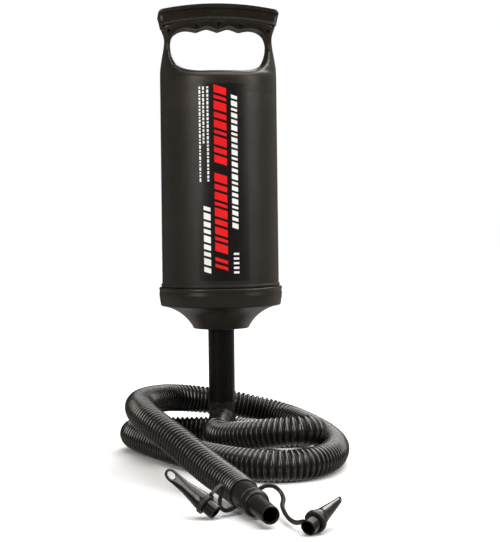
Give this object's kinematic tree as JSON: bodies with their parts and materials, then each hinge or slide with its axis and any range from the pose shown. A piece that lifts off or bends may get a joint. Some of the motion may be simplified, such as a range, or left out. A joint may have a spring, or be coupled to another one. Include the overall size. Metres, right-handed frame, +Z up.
{
  "type": "double action hand pump",
  "caption": "Upright double action hand air pump: a barrel with a closed grip slides on a hollow rod, with a corrugated hose and two tethered nozzles.",
  "frame": {"origin": "centre of the foot's flat underside", "axes": "+Z up along the rod, -Y to the front where the label faces and the hose leaves the foot"},
  "size_m": [0.2231, 0.4614, 0.4592],
  "materials": {
    "body": "satin black moulded plastic with a fine grain",
    "grip": "satin black moulded plastic with a fine grain",
    "hose": "glossy black corrugated plastic",
    "nozzle": "glossy black plastic",
    "tether": "flexible dark grey plastic, satin",
    "seal_rubber": "matt black rubber",
    "inner_plastic": "natural white plastic",
    "steel": "plain steel",
    "label": "glossy printed sticker"
  },
  "bodies": {
    "stand": {"foot_elbow": "body", "elbow_seal": "seal_rubber", "rod_tube": "body", "piston_cup": "inner_plastic", "piston_lid": "inner_plastic", "piston_seal": "seal_rubber", "piston_screw_1": "steel", "piston_screw_2": "steel", "piston_screw_3": "steel", "piston_screw_4": "steel", "hose_cuff": "hose", "hose": "hose", "hose_connector": "body", "tether_small": "tether", "tether_large": "tether", "nozzle_small": "nozzle", "nozzle_large": "nozzle"},
    "slider": {"guide_bush": "inner_plastic"},
    "barrel": {"barrel_shell": "body", "grip_cap": "grip", "grip_pin_1": "steel", "grip_pin_2": "steel", "grip_pin_3": "steel", "grip_pin_4": "steel", "grip_pin_5": "steel", "label": "label", "top_intake_button": "seal_rubber", "end_cap": "body", "guide_plate": "inner_plastic", "rod_seal": "seal_rubber", "seal_retainer": "inner_plastic", "cap_gasket": "seal_rubber"},
    "lower_outlet_valve": {"lower_outlet_flap": "seal_rubber"},
    "upper_outlet_valve": {"upper_outlet_flap": "seal_rubber"},
    "top_intake_valve": {"top_intake_flap": "seal_rubber"},
    "lower_intake_valve": {"lower_intake_flap": "seal_rubber"}
  },
  "joints": [
    {"name": "barrel_slide", "type": "slide", "parent": "stand", "child": "slider", "axis": [0, 0, 1], "range_m": [-0.075, 0.083]},
    {"name": "barrel_turn", "type": "hinge", "parent": "slider", "child": "barrel", "pos_m": [0, 0, 0.174], "axis": [0, 0, 1], "continuous": true},
    {"name": "lower_outlet_lift", "type": "slide", "parent": "stand", "child": "lower_outlet_valve", "axis": [0, 0, 1], "range_m": [0, 0.002]},
    {"name": "upper_outlet_lift", "type": "slide", "parent": "stand", "child": "upper_outlet_valve", "axis": [0, 0, 1], "range_m": [-0.002, 0]},
    {"name": "top_intake_lift", "type": "slide", "parent": "barrel", "child": "top_intake_valve", "axis": [0, 0, 1], "range_m": [-0.001, 0]},
    {"name": "lower_intake_lift", "type": "slide", "parent": "barrel", "child": "lower_intake_valve", "axis": [0, 0, 1], "range_m": [0, 0.002]}
  ]
}
